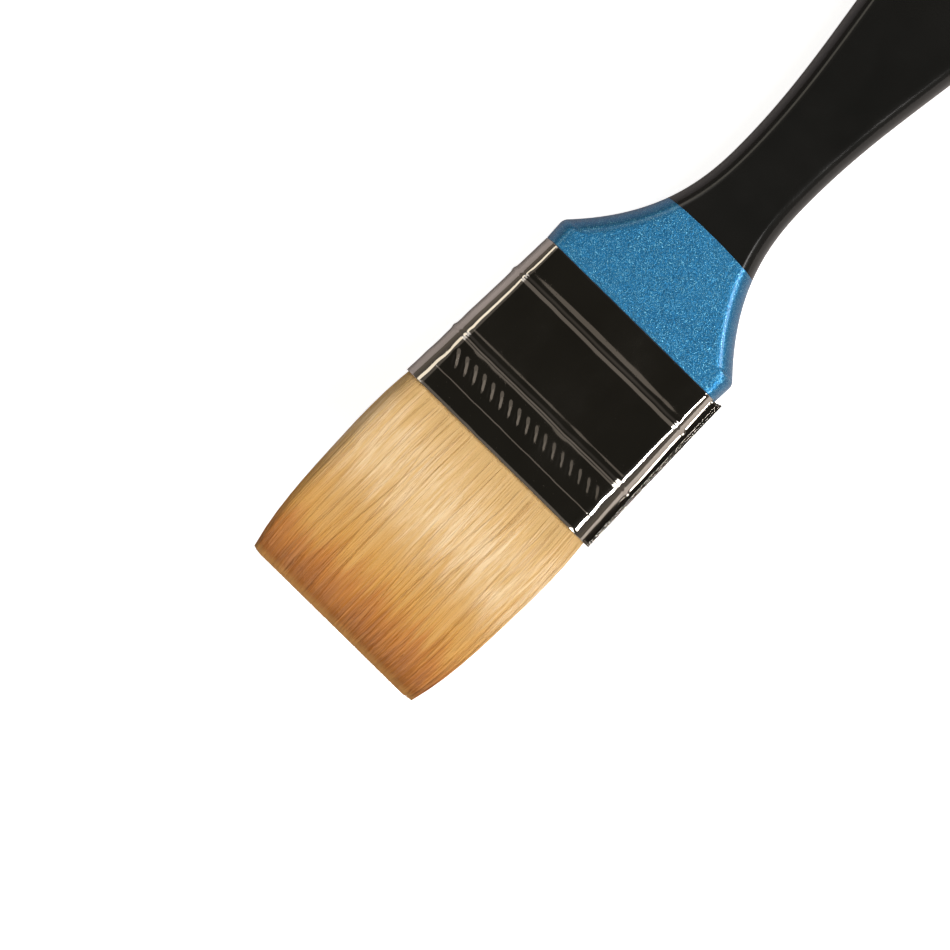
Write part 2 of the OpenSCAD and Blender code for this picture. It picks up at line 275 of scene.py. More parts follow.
def to_mesh(name, points, faces):
    """A new smooth object from points in millimetres, with its faces turned outwards."""
    mesh = bpy.data.meshes.new(name)
    mesh.from_pydata((np.asarray(points) * MM).tolist(), [], faces)
    work = bmesh.new()
    work.from_mesh(mesh)
    bmesh.ops.recalc_face_normals(work, faces=work.faces)
    work.to_mesh(mesh)
    work.free()
    mesh.polygons.foreach_set("use_smooth", [True] * len(mesh.polygons))
    piece = bpy.data.objects.new(name, mesh)
    bpy.context.scene.collection.objects.link(piece)
    return piece


def grid_faces(rows, columns, wrap_rows=False):
    """Quads over rings of points, each ring closed on itself, as index lists."""
    last = rows if wrap_rows else rows - 1
    k, i = np.meshgrid(np.arange(last), np.arange(columns), indexing="ij")
    j = (i + 1) % columns
    n = (k + 1) % rows
    quads = np.stack([k * columns + i, k * columns + j, n * columns + j, n * columns + i], -1)
    return quads.reshape(-1, 4).tolist()


def rings_to_mesh(name, rings, closed_loop=False, pole_first=False, pole_last=False):
    """A piece from rings of points, of shape (rings, points, 3). A pole closes an end with a fan."""
    rows, columns = rings.shape[:2]
    points = rings.reshape(-1, 3)
    faces = grid_faces(rows, columns, closed_loop)
    for wanted, ring, start in ((pole_first, rings[0], 0), (pole_last, rings[-1], (rows - 1) * columns)):
        if wanted:
            points = np.vstack([points, ring.mean(0)])
            middle = len(points) - 1
            faces += [[start + i, start + (i + 1) % columns, middle] for i in range(columns)]
    return to_mesh(name, points, faces)


def sharpen(piece, degrees):
    piece.data.set_sharp_from_angle(angle=math.radians(degrees))


# ---- handle ----

def coat_rings(us, marks, inset):
    """Rings of a lacquer skin. Near the edge of the coloured band they bow as that edge does."""
    u = us[:, None] + np.zeros((1, len(marks[0])))
    y = section_points(handle_profile(u, inset), marks)[0]
    sideness = np.clip(np.abs(y) / handle_half_w(u), 0, 1)
    u = u - band_bow * sideness ** 2 * bell(u - band_u, 5.0)
    y, z = section_points(handle_profile(u, inset), marks)[:2]
    return np.stack([mouth_x - u, y, middle_z + z], -1)


def make_blue_coat():
    marks = section_marks(28, 44)
    roll_w = 0.25
    roll_depth = 0.13
    us = np.concatenate([
        ferrule_len + roll_w * np.array([0.0, 0.15, 0.4, 0.7, 1.0]),
        np.linspace(ferrule_len + 0.6, corner_u - corner_reach, 8),
        np.linspace(corner_u - corner_reach, corner_u + corner_reach, 17)[1:],
        np.linspace(corner_u + corner_reach, band_u, 30)[1:],
    ])
    outer = coat_rings(us, marks, 0.0)
    # The coat's edge is rolled where it meets the ferrule
    drop = roll_depth * (1 - np.sqrt(np.clip(1 - (1 - (us - ferrule_len) / roll_w) ** 2, 0, 1)))
    drop[us > ferrule_len + roll_w] = 0
    for row in np.nonzero(drop)[0]:
        outer[row] = coat_rings(us[row:row + 1], marks, drop[row])[0]
    inner = coat_rings(us, marks, coat_t)
    piece = rings_to_mesh("blue_coat", np.concatenate([outer, inner[::-1]]), closed_loop=True)
    sharpen(piece, 50)
    return piece


def hole_cutter():
    """A spool that cuts the hole and rounds the lacquer's rim over it."""
    gap = 0.02
    steps = 8
    rim_w = 0.32
    collar_r = hole_r + 0.6
    past_face = 2
    rim = []
    for k in range(steps + 1):
        a = math.pi / 2 * k / steps
        rim.append((hole_r + gap + rim_w * (1 - math.cos(a)), hole_half_t - coat_t + coat_t * math.sin(a)))
    upper = rim + [(collar_r, hole_half_t + gap), (collar_r, hole_half_t + past_face)]
    profile = [(r, -z) for r, z in reversed(upper)] + upper
    turn = np.linspace(0, 2 * np.pi, 96, endpoint=False)
    rings = np.array([
        np.stack([hole_x + r * np.cos(turn), r * np.sin(turn), middle_z + z + 0 * turn], -1)
        for r, z in profile
    ])
    return rings_to_mesh("hole_cutter", rings, pole_first=True, pole_last=True)


def cut(piece, cutter):
    """Takes the cutter's shape out of the piece, and removes the cutter."""
    modifier = piece.modifiers.new("cut", "BOOLEAN")
    modifier.operation = "DIFFERENCE"
    modifier.solver = "EXACT"
    modifier.object = cutter
    graph = bpy.context.evaluated_depsgraph_get()
    done = bpy.data.meshes.new_from_object(piece.evaluated_get(graph))
    piece.modifiers.clear()
    piece.data = done
    bpy.data.objects.remove(cutter)


def make_black_coat():
    marks = section_marks(28, 44)
    us = np.concatenate([
        np.linspace(band_u, neck_u, 34),
        np.linspace(neck_u, grip_u, 44)[1:],
        np.linspace(grip_u, end_u - end_len, 44)[1:],
    ])
    swing = np.sin(np.linspace(0, np.pi / 2, 26)[1:])
    outer = coat_rings(np.concatenate([us, end_u - end_len + end_len * swing]), marks, 0.0)
    inner = coat_rings(np.concatenate([us, end_u - end_len + (end_len - coat_t) * swing]), marks, coat_t)
    piece = rings_to_mesh(
        "black_coat", np.concatenate([inner[::-1], outer]), pole_first=True, pole_last=True
    )
    cut(piece, hole_cutter())
    sharpen(piece, 50)
    return piece


# ---- ferrule ----

def knurl_dents(u, y):
    """Depth of the S-shaped strokes on a flat face. They are deeper away from the seam."""
    along = (u - knurl_u) / (knurl_len / 2)
    inside = np.clip((1 - np.abs(along)) / knurl_fade, 0, 1)
    fade = inside * inside * (3 - 2 * inside)
    lean = -math.tan(math.radians(knurl_lean)) * (u - knurl_u)
    s_shape = -knurl_swing * np.sin(np.pi * along)
    dents = np.zeros_like(y + u)
    for i in range(knurl_count):
        middle = (i - (knurl_count - 1) / 2) * knurl_pitch
        strength = mix(1.0, knurl_faint, i / (knurl_count - 1))
        dents += strength * bell(y - middle - lean - s_shape, knurl_w)
    return knurl_depth * fade * dents


def ferrule_relief(u, y, nz):
    """How far the outer face stands out of the plain sheet at each point."""
    upper_u = high_bead_u + 0.05 * waves(y, 1, 18)
    lower_u = low_bead_u + 0.05 * waves(y, 2, 15)
    relief = bump(u, upper_u, bead_w, bead_h) + bump(u, lower_u, bead_w, bead_h)
    relief = relief - bump(u, groove_u + 0.04 * waves(y, 3, 9), groove_w, groove_depth)
    # 1 on the flats and 0 on the rounded edges, with a short passage between them
    on_flat = np.clip((np.abs(nz) - 0.9) / 0.08, 0, 1)
    relief = relief - on_flat * knurl_dents(u, y)
    # The sheet is drawn in a little beside the beads, most of all above the upper one
    half_w = mix(mouth_w, top_w, u / ferrule_len) / 2
    bow = np.clip(1 - (y / half_w) ** 2, 0, 1)
    relief = relief - 0.13 * np.sqrt(bow) * bell(u - high_bead_u - 0.85, 0.8) * on_flat
    relief = relief - 0.05 * bell(u - low_bead_u - 1.1, 0.5) * on_flat
    # The knurling wheel has pressed in the side edges too
    relief = relief - 0.07 * bell(u - knurl_u, 1.6) * (1 - on_flat)
    # Small dents and waves of hand work
    relief = relief + 0.012 * waves(u + 0.3 * y, 4, 11) * waves(y, 5, 17)
    relief = relief + 0.02 * waves(u, 6, 8) * (1 - on_flat)
    return relief


def ferrule_us():
    """Places of the rings along the ferrule, close together wherever its face has relief."""
    groove_reach = 0.36
    knurl_reach = knurl_len / 2 + 0.3
    bead_reach = 0.72
    parts = [
        np.linspace(lip_r, groove_u - 0.5, 6),
        np.linspace(groove_u - groove_reach, groove_u + groove_reach, 11),
        np.linspace(knurl_u - knurl_reach, knurl_u + knurl_reach, 34),
        np.linspace(low_bead_u - bead_reach, low_bead_u + bead_reach, 19),
        np.linspace(low_bead_u + 0.9, low_bead_u + 2.4, 8),
        np.linspace(low_bead_u + 3.2, high_bead_u - 1.2, 14),
        np.linspace(high_bead_u - bead_reach, high_bead_u + bead_reach, 19),
        np.linspace(high_bead_u + 0.85, high_bead_u + 3.4, 14),
        np.linspace(high_bead_u + 4, ferrule_len - lip_r, 5),
    ]
    return np.concatenate(parts)


def make_ferrule():
    marks = section_marks(40, 230)
    us = ferrule_us()
    u = us[:, None] + np.zeros((1, len(marks[0])))
    y, z, ny, nz = section_points(ferrule_profile(u), marks)
    relief = ferrule_relief(u, y, nz)
    outer = np.stack([mouth_x - u, y + ny * relief, middle_z + z + nz * relief], -1)

    def plain_rings(places, insets):
        """Rings of the sheet without relief, at those places and so far inside its outer face."""
        rings = []
        for place, inset in zip(places, insets):
            profile = ferrule_profile(np.full((1, 1), place))
            ry, rz = section_points(profile, marks, inset)[:2]
            rings.append(np.stack([np.full_like(ry[0], mouth_x - place), ry[0], middle_z + rz[0]], -1))
        return np.array(rings)

    top_lip = plain_rings(
        [ferrule_len - 0.03, ferrule_len, ferrule_len, ferrule_len - 0.05],
        [0.03, lip_r, sheet_t - 0.1, sheet_t],
    )
    inner = plain_rings(np.linspace(ferrule_len - 1, 1, 7), [sheet_t] * 7)
    mouth_lip = plain_rings([0.05, 0, 0, 0.03], [sheet_t, sheet_t - 0.1, lip_r, 0.03])
    rings = np.concatenate([outer, top_lip, inner, mouth_lip])
    return rings_to_mesh("ferrule_sheet", rings, closed_loop=True)


def seam_bar(name, inner, outer, half_w, past, seed):
    """One layer of the folded seam: a bar with rounded edges along the side of the ferrule.
    inner and outer are shares of the seam's height above the side edge, and an inner of None is its root."""
    us = np.linspace(0.02, ferrule_len + past, 60)
    corner = np.linspace(0, np.pi / 2, 5)
    rings = []
    for u in us:
        t = min(u / ferrule_len, 1)
        side = mix(mouth_w, top_w, t) / 2
        height = mix(seam_low, seam_high, t)
        y0 = side - seam_root_in if inner is None else side + inner * height
        y1 = side + outer * height + 0.015 * float(waves(np.array(u), seed, 12, 3))
        w = half_w * (1 + 0.01 * float(waves(np.array(u), seed + 1, 16, 3)))
        r = 0.025
        arc = [(y1 - r + r * math.cos(a), w - r + r * math.sin(a)) for a in corner]
        back = [(y0 + r - r * math.sin(a), w - r + r * math.cos(a)) for a in corner]
        upper = arc + [(y1 - 2 * r, w), (y0 + 2 * r, w)] + back
        ring = upper + [(y, -z) for y, z in reversed(upper)]
        rings.append([[mouth_x - u, y, middle_z + z] for y, z in ring])
    return rings_to_mesh(name, np.array(rings), pole_first=True, pole_last=True)


def make_seam():
    # Name, inner and outer shares of the height, half width, and length past the ferrule's upper edge
    layers = [
        ("seam_root", None, 0.42, 2.05, 0.0),
        ("seam_middle", 0.36, 0.74, 1.78, 0.15),
        ("seam_outer", 0.68, 1.0, 1.50, seam_past),
    ]
    pieces = []
    for k, (name, inner, outer, half_w, past) in enumerate(layers):
        pieces.append(seam_bar(name, inner, outer, half_w, past, 30 + 3 * k))
    return pieces


# ---- tuft ----

def make_core():
    """The close-packed filaments under the loose outer ones, with fine lengthwise grooves."""
    marks = section_marks(30, 250)
    first_v = -3
    round_len = 0.7
    round_v = tuft_len - 1.4
    vs = np.concatenate([
        np.linspace(first_v, round_v, 40),
        round_v + round_len * np.sin(np.linspace(0, np.pi / 2, 5)[1:]),
    ])
    v = vs[:, None] + np.zeros((1, len(marks[0])))
    rng = np.random.default_rng(SEED + 50)
    least_inset = 0.11
    groove = 0.05 * rng.random(len(marks[0]))[None, :]
    rounding = np.clip((v - round_v) / round_len, 0, 1)
    inset = least_inset + groove + 0.3 * (1 - np.sqrt(1 - rounding ** 2 * 0.99))
    y, z, ny, nz = section_points(tuft_profile(v), marks)
    rings = np.stack([mouth_x + v, y - ny * inset, middle_z + z - nz * inset], -1)
    return rings_to_mesh("tuft_core", rings, pole_first=True, pole_last=True)


def strand_mesh(name, paths, radii, shades, sides=4):
    """Thin tubes along paths of shape (strands, stations, 3), with a shade for each strand."""
    count, stations = paths.shape[:2]
    ahead = np.gradient(paths, axis=1)
    ahead /= np.linalg.norm(ahead, axis=2, keepdims=True)
    side = np.cross(ahead, np.array([0.0, 0.0, 1.0]))
    side /= np.linalg.norm(side, axis=2, keepdims=True)
    over = np.cross(side, ahead)
    turn = 2 * np.pi * np.arange(sides) / sides
    ring = (
        side[:, :, None, :] * np.cos(turn)[None, None, :, None]
        + over[:, :, None, :] * np.sin(turn)[None, None, :, None]
    )
    points = paths[:, :, None, :] + ring * radii[:, :, None, None]
    per_strand = stations * sides
    one = np.array(grid_faces(stations, sides))
    quads = (one[None, :, :] + per_strand * np.arange(count)[:, None, None]).reshape(-1, 4).tolist()
    first = [[s * per_strand + k for k in range(sides)] for s in range(count)]
    last = [[(s + 1) * per_strand - 1 - k for k in range(sides)] for s in range(count)]
    piece = to_mesh(name, points.reshape(-1, 3), quads + first + last)
    shade = piece.data.attributes.new("shade", "FLOAT", "POINT")
    shade.data.foreach_set("value", np.repeat(shades, per_strand).astype(np.float32))
    return piece


def tip_reach(y, shortfall):
    """How far a filament at y reaches from the mouth. Filaments at the tips' corners are shorter."""
    corner = np.clip((np.abs(y) - (tip_w / 2 - tip_corner_w)) / tip_corner_w, 0, 1)
    return tuft_len - tip_gap - shortfall - tip_corner_cut * corner ** 2


def outer_strands(rng, count, lift, wander):
    """Paths, radii and shades of filaments lying along the outside of the tuft. Stray ones lie lift higher,
    and wander is how far they sway sideways."""
    stations = 13
    on_flat = 0.44
    on_edge = 0.5 - on_flat
    part = rng.choice([0, 1, 2, 3], size=count, p=[on_edge, on_flat, on_edge, on_flat])
    place = rng.random(count)
    deepest = 0.07
    depth = rng.random(count) ** 1.5 * deepest - lift
    t = np.linspace(0, 1, stations)[None, :]
    start = -1.5
    shortfall = 0.28 * rng.random(count) ** 2
    is_flat = (part == 1) | (part == 3)
    tip_y = np.where(is_flat, np.abs(2 * place - 1) * (tip_w / 2 - tip_t / 2), tip_w / 2)
    v = start + (tip_reach(tip_y, shortfall)[:, None] - start) * t
    marks = (part[:, None], place[:, None])
    y, z, ny, nz = section_points(tuft_profile(v), marks)
    radius = rng.uniform(0.042, 0.066, count)[:, None] * mix(1, 0.5, np.clip((v - 24) / 12, 0, 1))
    # Filaments gather into loose locks towards the tips
    lock_w = 2.2
    centre = (np.floor(y / lock_w) + 0.5) * lock_w + 0.6 * waves(np.floor(y[:, :1] / lock_w), 60, 5)
    pull = 0.05 * np.clip(v / tuft_len, 0, 1) ** 1.5
    y = np.where(is_flat[:, None], mix(y, centre, pull), y)
    # They sway and lift more, the freer they are of the ferrule
    free = np.clip((v - 1) / 10, 0, 1)
    phase = rng.uniform(0, 2 * np.pi, (4, count, 1))
    length = rng.uniform(50, 140, (2, count, 1))
    sway = wander * (np.sin(2 * np.pi * v / length[0] + phase[0]) - np.sin(phase[0]))
    lift_wave = 0.03 * np.sin(2 * np.pi * v / length[1] + phase[1])
    out = -(depth[:, None] + radius) + lift_wave * free
    # In the mouth they are pressed together, clear of the ferrule's lip
    mouth_inset = 0.12
    out = np.where(v < 0.6, -(mouth_inset + radius + np.abs(depth[:, None])), out)
    limit = tuft_profile(v)[0] - radius
    y = np.clip(y + ny * out + sway * free * np.abs(nz), -limit, limit)
    z = z + nz * out
    x = mouth_x + v
    shades = np.clip(rng.normal(0.5, 0.22, count), 0, 1)
    return np.stack([x, y, middle_z + z], -1), radius + np.zeros_like(v), shades


def end_strands(rng, count):
    """Short cut ends that fill the tip of the tuft."""
    stations = 4
    half_w = tip_w / 2
    y = rng.uniform(-1, 1, count) * (half_w - 0.35)
    z = rng.uniform(-1, 1, count) * (tip_t / 2 - 0.12)
    reach = tip_reach(y, 0.3 * rng.random(count))
    back = np.linspace(-3.0, 0, stations)[None, :]
    x = mouth_x + reach[:, None] + back
    spread = 1 - back * 0.004
    ys = y[:, None] * spread + 0.1 * rng.standard_normal((count, 1)) * (1 + back / 3)
    zs = z[:, None] * (1 - back * 0.03)
    ys = np.clip(ys, -half_w + 0.1, half_w - 0.1)
    radius = rng.uniform(0.035, 0.06, count)[:, None] + 0 * back
    shades = np.clip(rng.normal(0.5, 0.25, count), 0, 1)
    return np.stack([x, ys, middle_z + zs], -1), radius, shades


def make_strands():
    """Ten pieces of filaments that lie close, one of stray ones that cross them, and one of cut ends."""
    rng = np.random.default_rng(SEED + 70)
    pieces = []
    for k in range(10):
        close = outer_strands(rng, count=640, lift=0.0, wander=0.12)
        pieces.append(strand_mesh("strands_%d" % k, *close))
    stray = outer_strands(rng, count=70, lift=0.10, wander=1.0)
    pieces.append(strand_mesh("strands_stray", *stray))
    ends = end_strands(rng, count=1800)
    pieces.append(strand_mesh("strands_ends", *ends, sides=3))
    return pieces


# ---- materials ----

def set_stops(ramp, stops):
    """Gives a colour ramp its stops, each a position and a colour."""
    while len(ramp.elements) < len(stops):
        ramp.elements.new(0.5)
    for element, (position, colour) in zip(ramp.elements, stops):
        element.position = position
        element.color = (*colour, 1)


class Shader:
    """A new material with its nodes, and short ways to add and link them."""

    def __init__(self, name):
        self.material = bpy.data.materials.new(name)
        self.material.use_nodes = True
        self.tree = self.material.node_tree
        self.principled = self.tree.nodes["Principled BSDF"]
        self.coordinates = None

    def set(self, **values):
        for name, value in values.items():
            self.principled.inputs[name.replace("_", " ")].default_value = value

    def node(self, kind, inputs=(), **settings):
        made = self.tree.nodes.new(kind)
        for name, value in settings.items():
            setattr(made, name, value)
        for name, value in dict(inputs).items():
            self.feed(made.inputs[name], value)
        return made

    def feed(self, socket, value):
        if isinstance(value, bpy.types.NodeSocket):
            self.tree.links.new(value, socket)
        else:
            socket.default_value = value

    def place(self, scale):
        """Object coordinates in metres, times scale."""
        if self.coordinates is None:
            self.coordinates = self.node("ShaderNodeTexCoord").outputs["Object"]
        made = self.node("ShaderNodeMapping", {"Vector": self.coordinates, "Scale": scale})
        return made.outputs["Vector"]

    def noise(self, scale, detail=3.0, roughness=0.5):
        inputs = {"Vector": self.place(scale), "Scale": 1.0, "Detail": detail, "Roughness": roughness}
        return self.node("ShaderNodeTexNoise", inputs).outputs["Fac"]

    def ramp(self, factor, stops):
        made = self.node("ShaderNodeValToRGB", {"Fac": factor})
        set_stops(made.color_ramp, stops)
        return made.outputs["Color"]

    def spread(self, value, low_in, high_in, low_out, high_out):
        inputs = {0: value, 1: low_in, 2: high_in, 3: low_out, 4: high_out}
        return self.node("ShaderNodeMapRange", inputs).outputs[0]

    def math(self, operation, a, b):
        return self.node("ShaderNodeMath", {0: a, 1: b}, operation=operation).outputs[0]

    def mix(self, factor, a, b, blend="MIX"):
        made = self.node("ShaderNodeMix", data_type="RGBA", blend_type=blend)
        sockets = {s.identifier: s for s in made.inputs}
        self.feed(sockets["Factor_Float"], factor)
        self.feed(sockets["A_Color"], a if isinstance(a, bpy.types.NodeSocket) else (*a, 1))
        self.feed(sockets["B_Color"], b if isinstance(b, bpy.types.NodeSocket) else (*b, 1))
        return next(s for s in made.outputs if s.identifier == "Result_Color")

    def bump(self, height, strength, distance, normal=None):
        inputs = {"Height": height, "Strength": strength, "Distance": distance}
        if normal is not None:
            inputs["Normal"] = normal
        return self.node("ShaderNodeBump", inputs).outputs["Normal"]

    def link(self, name, socket):
        self.tree.links.new(socket, self.principled.inputs[name])


def even(scale):
    return (scale, scale, scale)


def black_lacquer():
    s = Shader("black_lacquer")
    cloud = s.noise(even(60), 3)
    s.link("Base Color", s.ramp(cloud, [(0.3, (0.0085, 0.0085, 0.0078)), (0.7, (0.0125, 0.0122, 0.0112))]))
    s.link("Roughness", s.spread(s.noise(even(220), 4), 0.3, 0.7, 0.12, 0.19))
    dust = s.ramp(s.noise(even(2600), 1), [(0.70, (0, 0, 0)), (0.76, (1, 1, 1))])
    peel = s.bump(s.noise(even(260), 2), 0.25, 0.00004)
    s.link("Normal", s.bump(dust, 0.08, 0.00001, peel))
    s.set(IOR=1.5)
    return s.material


def blue_lacquer():
    s = Shader("blue_lacquer")
    flakes = s.node("ShaderNodeTexVoronoi", {"Vector": s.place(even(15000)), "Scale": 1.0})
    tint = s.node("ShaderNodeSeparateColor", {"Color": flakes.outputs["Color"]})
    sparkle = s.ramp(tint.outputs[0], [(0.86, (0, 0, 0)), (1.0, (1, 1, 1))])
    cloud = s.ramp(s.noise(even(90), 3), [(0.3, (0.026, 0.175, 0.40)), (0.7, (0.030, 0.195, 0.44))])
    fine = s.mix(s.spread(tint.outputs[1], 0, 1, 0, 0.4), cloud, (0.045, 0.33, 0.62))
    s.link("Base Color", s.mix(sparkle, fine, (0.30, 0.80, 0.98)))
    s.link("Metallic", s.spread(tint.outputs[2], 0, 1, 0.88, 1.0))
    # Each flake is turned its own way by a vector from the pattern's random colour
    random_colour = flakes.outputs["Color"]
    tilt = s.node("ShaderNodeVectorMath", {0: random_colour, 1: (0.5, 0.5, 0.5)}, operation="SUBTRACT")
    tilt = s.node("ShaderNodeVectorMath", {0: tilt.outputs[0], "Scale": 0.45}, operation="SCALE")
    normal = s.node("ShaderNodeNewGeometry").outputs["Normal"]
    turned = s.node("ShaderNodeVectorMath", {0: normal, 1: tilt.outputs[0]}, operation="ADD")
    turned = s.node("ShaderNodeVectorMath", {0: turned.outputs[0]}, operation="NORMALIZE")
    s.link("Normal", turned.outputs[0])
    s.link("Coat Normal", s.bump(s.noise(even(260), 2), 0.2, 0.00004))
    s.set(Roughness=0.39, Coat_Weight=0.6, Coat_Roughness=0.12, IOR=1.5)
    return s.material


def nickel_plate():
    s = Shader("nickel_plate")
    cloud = s.noise(even(130), 4)
    s.link("Base Color", s.ramp(cloud, [(0.3, (0.60, 0.56, 0.51)), (0.7, (0.68, 0.64, 0.59))]))
    smudge = s.spread(s.noise((90, 140, 140), 5, 0.6), 0.4, 0.75, 0.05, 0.13)
    s.link("Roughness", smudge)
    drawn = s.noise((160, 5200, 5200), 2)
    specks = s.ramp(s.noise(even(1900), 2), [(0.66, (0, 0, 0)), (0.72, (1, 1, 1))])
    wavy = s.bump(s.noise(even(170), 2), 0.5, 0.00003)
    s.link("Normal", s.bump(specks, 0.25, 0.00001, s.bump(drawn, 0.12, 0.000004, wavy)))
    s.set(Metallic=1.0)
    return s.material


def filaments(name, shade_from_strands):
    s = Shader(name)
    along = s.node("ShaderNodeSeparateXYZ", {0: s.place((1, 1, 1))}).outputs[0]
    start = mouth_x * MM
    # Over their last 1.6 mm the filaments are drawn paler than the tips behind them
    cut_ends = s.spread(along, start + (tuft_len - 1.6) * MM, start + (tuft_len - 0.7) * MM, 0, 0.6)
    ragged = s.noise((25, 900, 900), 2)
    uneven = 2.2 * MM
    along = s.math("ADD", along, s.spread(ragged, 0.3, 0.7, -uneven, uneven))
    share = s.spread(along, start, start + tuft_len * MM, 0, 1)
    # The dye's tan, deepening to amber at the tips. Its lighter stretch, from 0.16 to 0.36, is a painted highlight
    # where the tuft is fullest, and its darker start next to the mouth is painted shade.
    tan = s.ramp(share, [
        (0.0, (0.66, 0.43, 0.17)),
        (0.16, (0.74, 0.48, 0.19)),
        (0.36, (0.76, 0.50, 0.20)),
        (0.52, (0.70, 0.42, 0.135)),
        (0.70, (0.68, 0.36, 0.075)),
        (0.83, (0.56, 0.21, 0.022)),
        (0.94, (0.41, 0.125, 0.008)),
        (1.0, (0.48, 0.17, 0.02)),
    ])
    if shade_from_strands:
        shade = s.node("ShaderNodeAttribute", attribute_name="shade").outputs["Fac"]
        streak = s.noise((60, 1200, 1200), 1)
        shade = s.math("ADD", s.math("MULTIPLY", shade, 0.75), s.math("MULTIPLY", streak, 0.25))
    else:
        shade = s.noise((18, 5200, 5200), 3, 0.6)
    dark = s.mix(1.0, tan, (0.94, 0.91, 0.85), "MULTIPLY")
    light = s.mix(0.14, tan, (0.98, 0.80, 0.55))
    base = s.mix(s.spread(shade, 0.2, 0.8, 0, 1), dark, light)
    base = s.mix(cut_ends, base, (0.70, 0.40, 0.14))
    # A painted creamy highlight where the tuft is fullest, that starts and ends at its own place on each filament
    off = s.math("ADD", share, s.spread(shade, 0, 1, -0.14, 0.14))
    painted_sheen = s.ramp(off, [(0.06, (0, 0, 0)), (0.25, (1, 1, 1)), (0.37, (1, 1, 1)), (0.56, (0, 0, 0))])
    painted_sheen_patches = s.spread(s.noise((110, 1300, 1300), 3, 0.6), 0.38, 0.66, 0.05, 0.75)
    s.link("Base Color", s.mix(s.math("MULTIPLY", painted_sheen, painted_sheen_patches), base, (0.97, 0.79, 0.55)))
    s.link("Roughness", s.spread(shade, 0, 1, 0.5, 0.36))
    if not shade_from_strands:
        s.link("Normal", s.bump(s.noise((12, 7000, 7000), 2), 0.9, 0.00008))
    s.set(Specular_IOR_Level=0.35)
    return s.material


def bare_wood():
    s = Shader("bare_wood")
    rings = s.noise((30, 700, 700), 4, 0.6)
    pores = s.noise((300, 6000, 6000), 2)
    grain = s.ramp(rings, [(0.3, (0.42, 0.25, 0.11)), (0.7, (0.66, 0.45, 0.23))])
    s.link("Base Color", s.mix(s.spread(pores, 0.55, 0.75, 0, 0.5), grain, (0.25, 0.13, 0.05)))
    s.link("Roughness", s.spread(rings, 0, 1, 0.75, 0.6))
    s.link("Normal", s.bump(pores, 0.5, 0.00005))
    return s.material


def set_adhesive(name, dark, light, bubbles):
    """Glue or resin: a cured, slightly cloudy adhesive with small bubbles."""
    s = Shader(name)
    cloud = s.ramp(s.noise(even(300), 4), [(0.3, dark), (0.7, light)])
    spots = s.ramp(s.noise(even(bubbles), 1), [(0.68, (0, 0, 0)), (0.74, (1, 1, 1))])
    s.link("Base Color", s.mix(spots, cloud, light))
    s.link("Roughness", s.spread(s.noise(even(800), 3), 0.3, 0.7, 0.3, 0.5))
    s.link("Normal", s.bump(spots, 0.3, 0.00005))
    return s.material


def wear(pieces, material):
    for piece in pieces:
        piece.data.materials.clear()
        piece.data.materials.append(material)


def dress_node(name, material):
    node = frame["nodes"][name]
    for place in node.material_slots:
        place.material = material


# ---- stage ----

def make_floor():
    """A pale floor that dips below the tuft, so that the tuft has room to bend down."""
    side = 3.0
    dip_depth = 0.022
    gap_below = 0.0001
    steps = np.concatenate([
        np.linspace(-side, -0.3, 8), np.linspace(-0.25, 0.35, 121), np.linspace(0.4, side, 8)
    ])
    x, y = np.meshgrid(steps, steps, indexing="ij")
    mouth = mouth_x * MM

    def rise(value, begin, end):
        t = np.clip((value - begin) / (end - begin), 0, 1)
        return t * t * t * (t * (6 * t - 15) + 10)

    # In metres: the dip starts below the ferrule, is deepest below the tips and ends well beyond them
    dip = rise(x, mouth - 0.016, mouth + 0.026) * (1 - rise(x, mouth + 0.055, mouth + 0.16))
    dip = dip * (1 - rise(np.abs(y), 0.026, 0.11))
    z = -gap_below - dip_depth * dip
    points = np.stack([x, y, z], -1).reshape(-1, 3) / MM
    n = len(steps)
    k, i = np.meshgrid(np.arange(n - 1), np.arange(n - 1), indexing="ij")
    quads = np.stack([k * n + i, (k + 1) * n + i, (k + 1) * n + i + 1, k * n + i + 1], -1)
    floor = to_mesh("floor", points, quads.reshape(-1, 4).tolist())
    s = Shader("pale_floor")
    grain = s.ramp(s.noise(even(40), 3), [(0.3, (0.80, 0.80, 0.80)), (0.7, (0.83, 0.83, 0.83))])
    s.link("Base Color", grain)
    s.set(Roughness=0.9, Specular_IOR_Level=0.1)
    # The floor glows a little to the camera, as a lit sweep does, and is mid-grey in reflections, where it carries
    # painted light that is lighter towards +Y and darker towards -Y
    glow = s.node("ShaderNodeEmission", {"Color": (1, 1, 1, 1), "Strength": 0.80}).outputs[0]
    seen = s.node("ShaderNodeAddShader", {0: s.principled.outputs[0], 1: glow}).outputs[0]
    # Painted light for reflections: the floor is drawn lighter towards +Y, where the key falls, and darker towards
    # -Y
    across = s.node("ShaderNodeSeparateXYZ", {0: s.place((1, 1, 1))}).outputs[1]
    sideways = s.spread(across, -0.06, 0.06, 0, 1)
    shade = s.ramp(sideways, [(0.3, (0.46, 0.42, 0.43)), (0.7, (0.58, 0.54, 0.52))])
    painted_light_in_reflections = s.node("ShaderNodeBsdfDiffuse", {"Color": shade}).outputs[0]
    is_camera = s.node("ShaderNodeLightPath").outputs["Is Camera Ray"]
    both = s.node("ShaderNodeMixShader", {0: is_camera, 1: painted_light_in_reflections, 2: seen}).outputs[0]
    s.tree.links.new(both, s.tree.nodes["Material Output"].inputs["Surface"])
    floor.data.materials.append(s.material)


def softbox(name, place, target, size, radiance, colour):
    """A rectangular light at place, facing target. Its radiance is what a mirror would show."""
    light = bpy.data.lights.new(name, "AREA")
    light.shape = "RECTANGLE"
    light.size, light.size_y = size
    light.energy = radiance * math.pi * size[0] * size[1]
    light.color = colour
    lamp = bpy.data.objects.new(name, light)
    bpy.context.scene.collection.objects.link(lamp)
    lamp.location = place
    away = Vector(place) - Vector(target)
    lamp.rotation_euler = away.to_track_quat("Z", "Y").to_euler()
    lamp.visible_camera = False
    return lamp


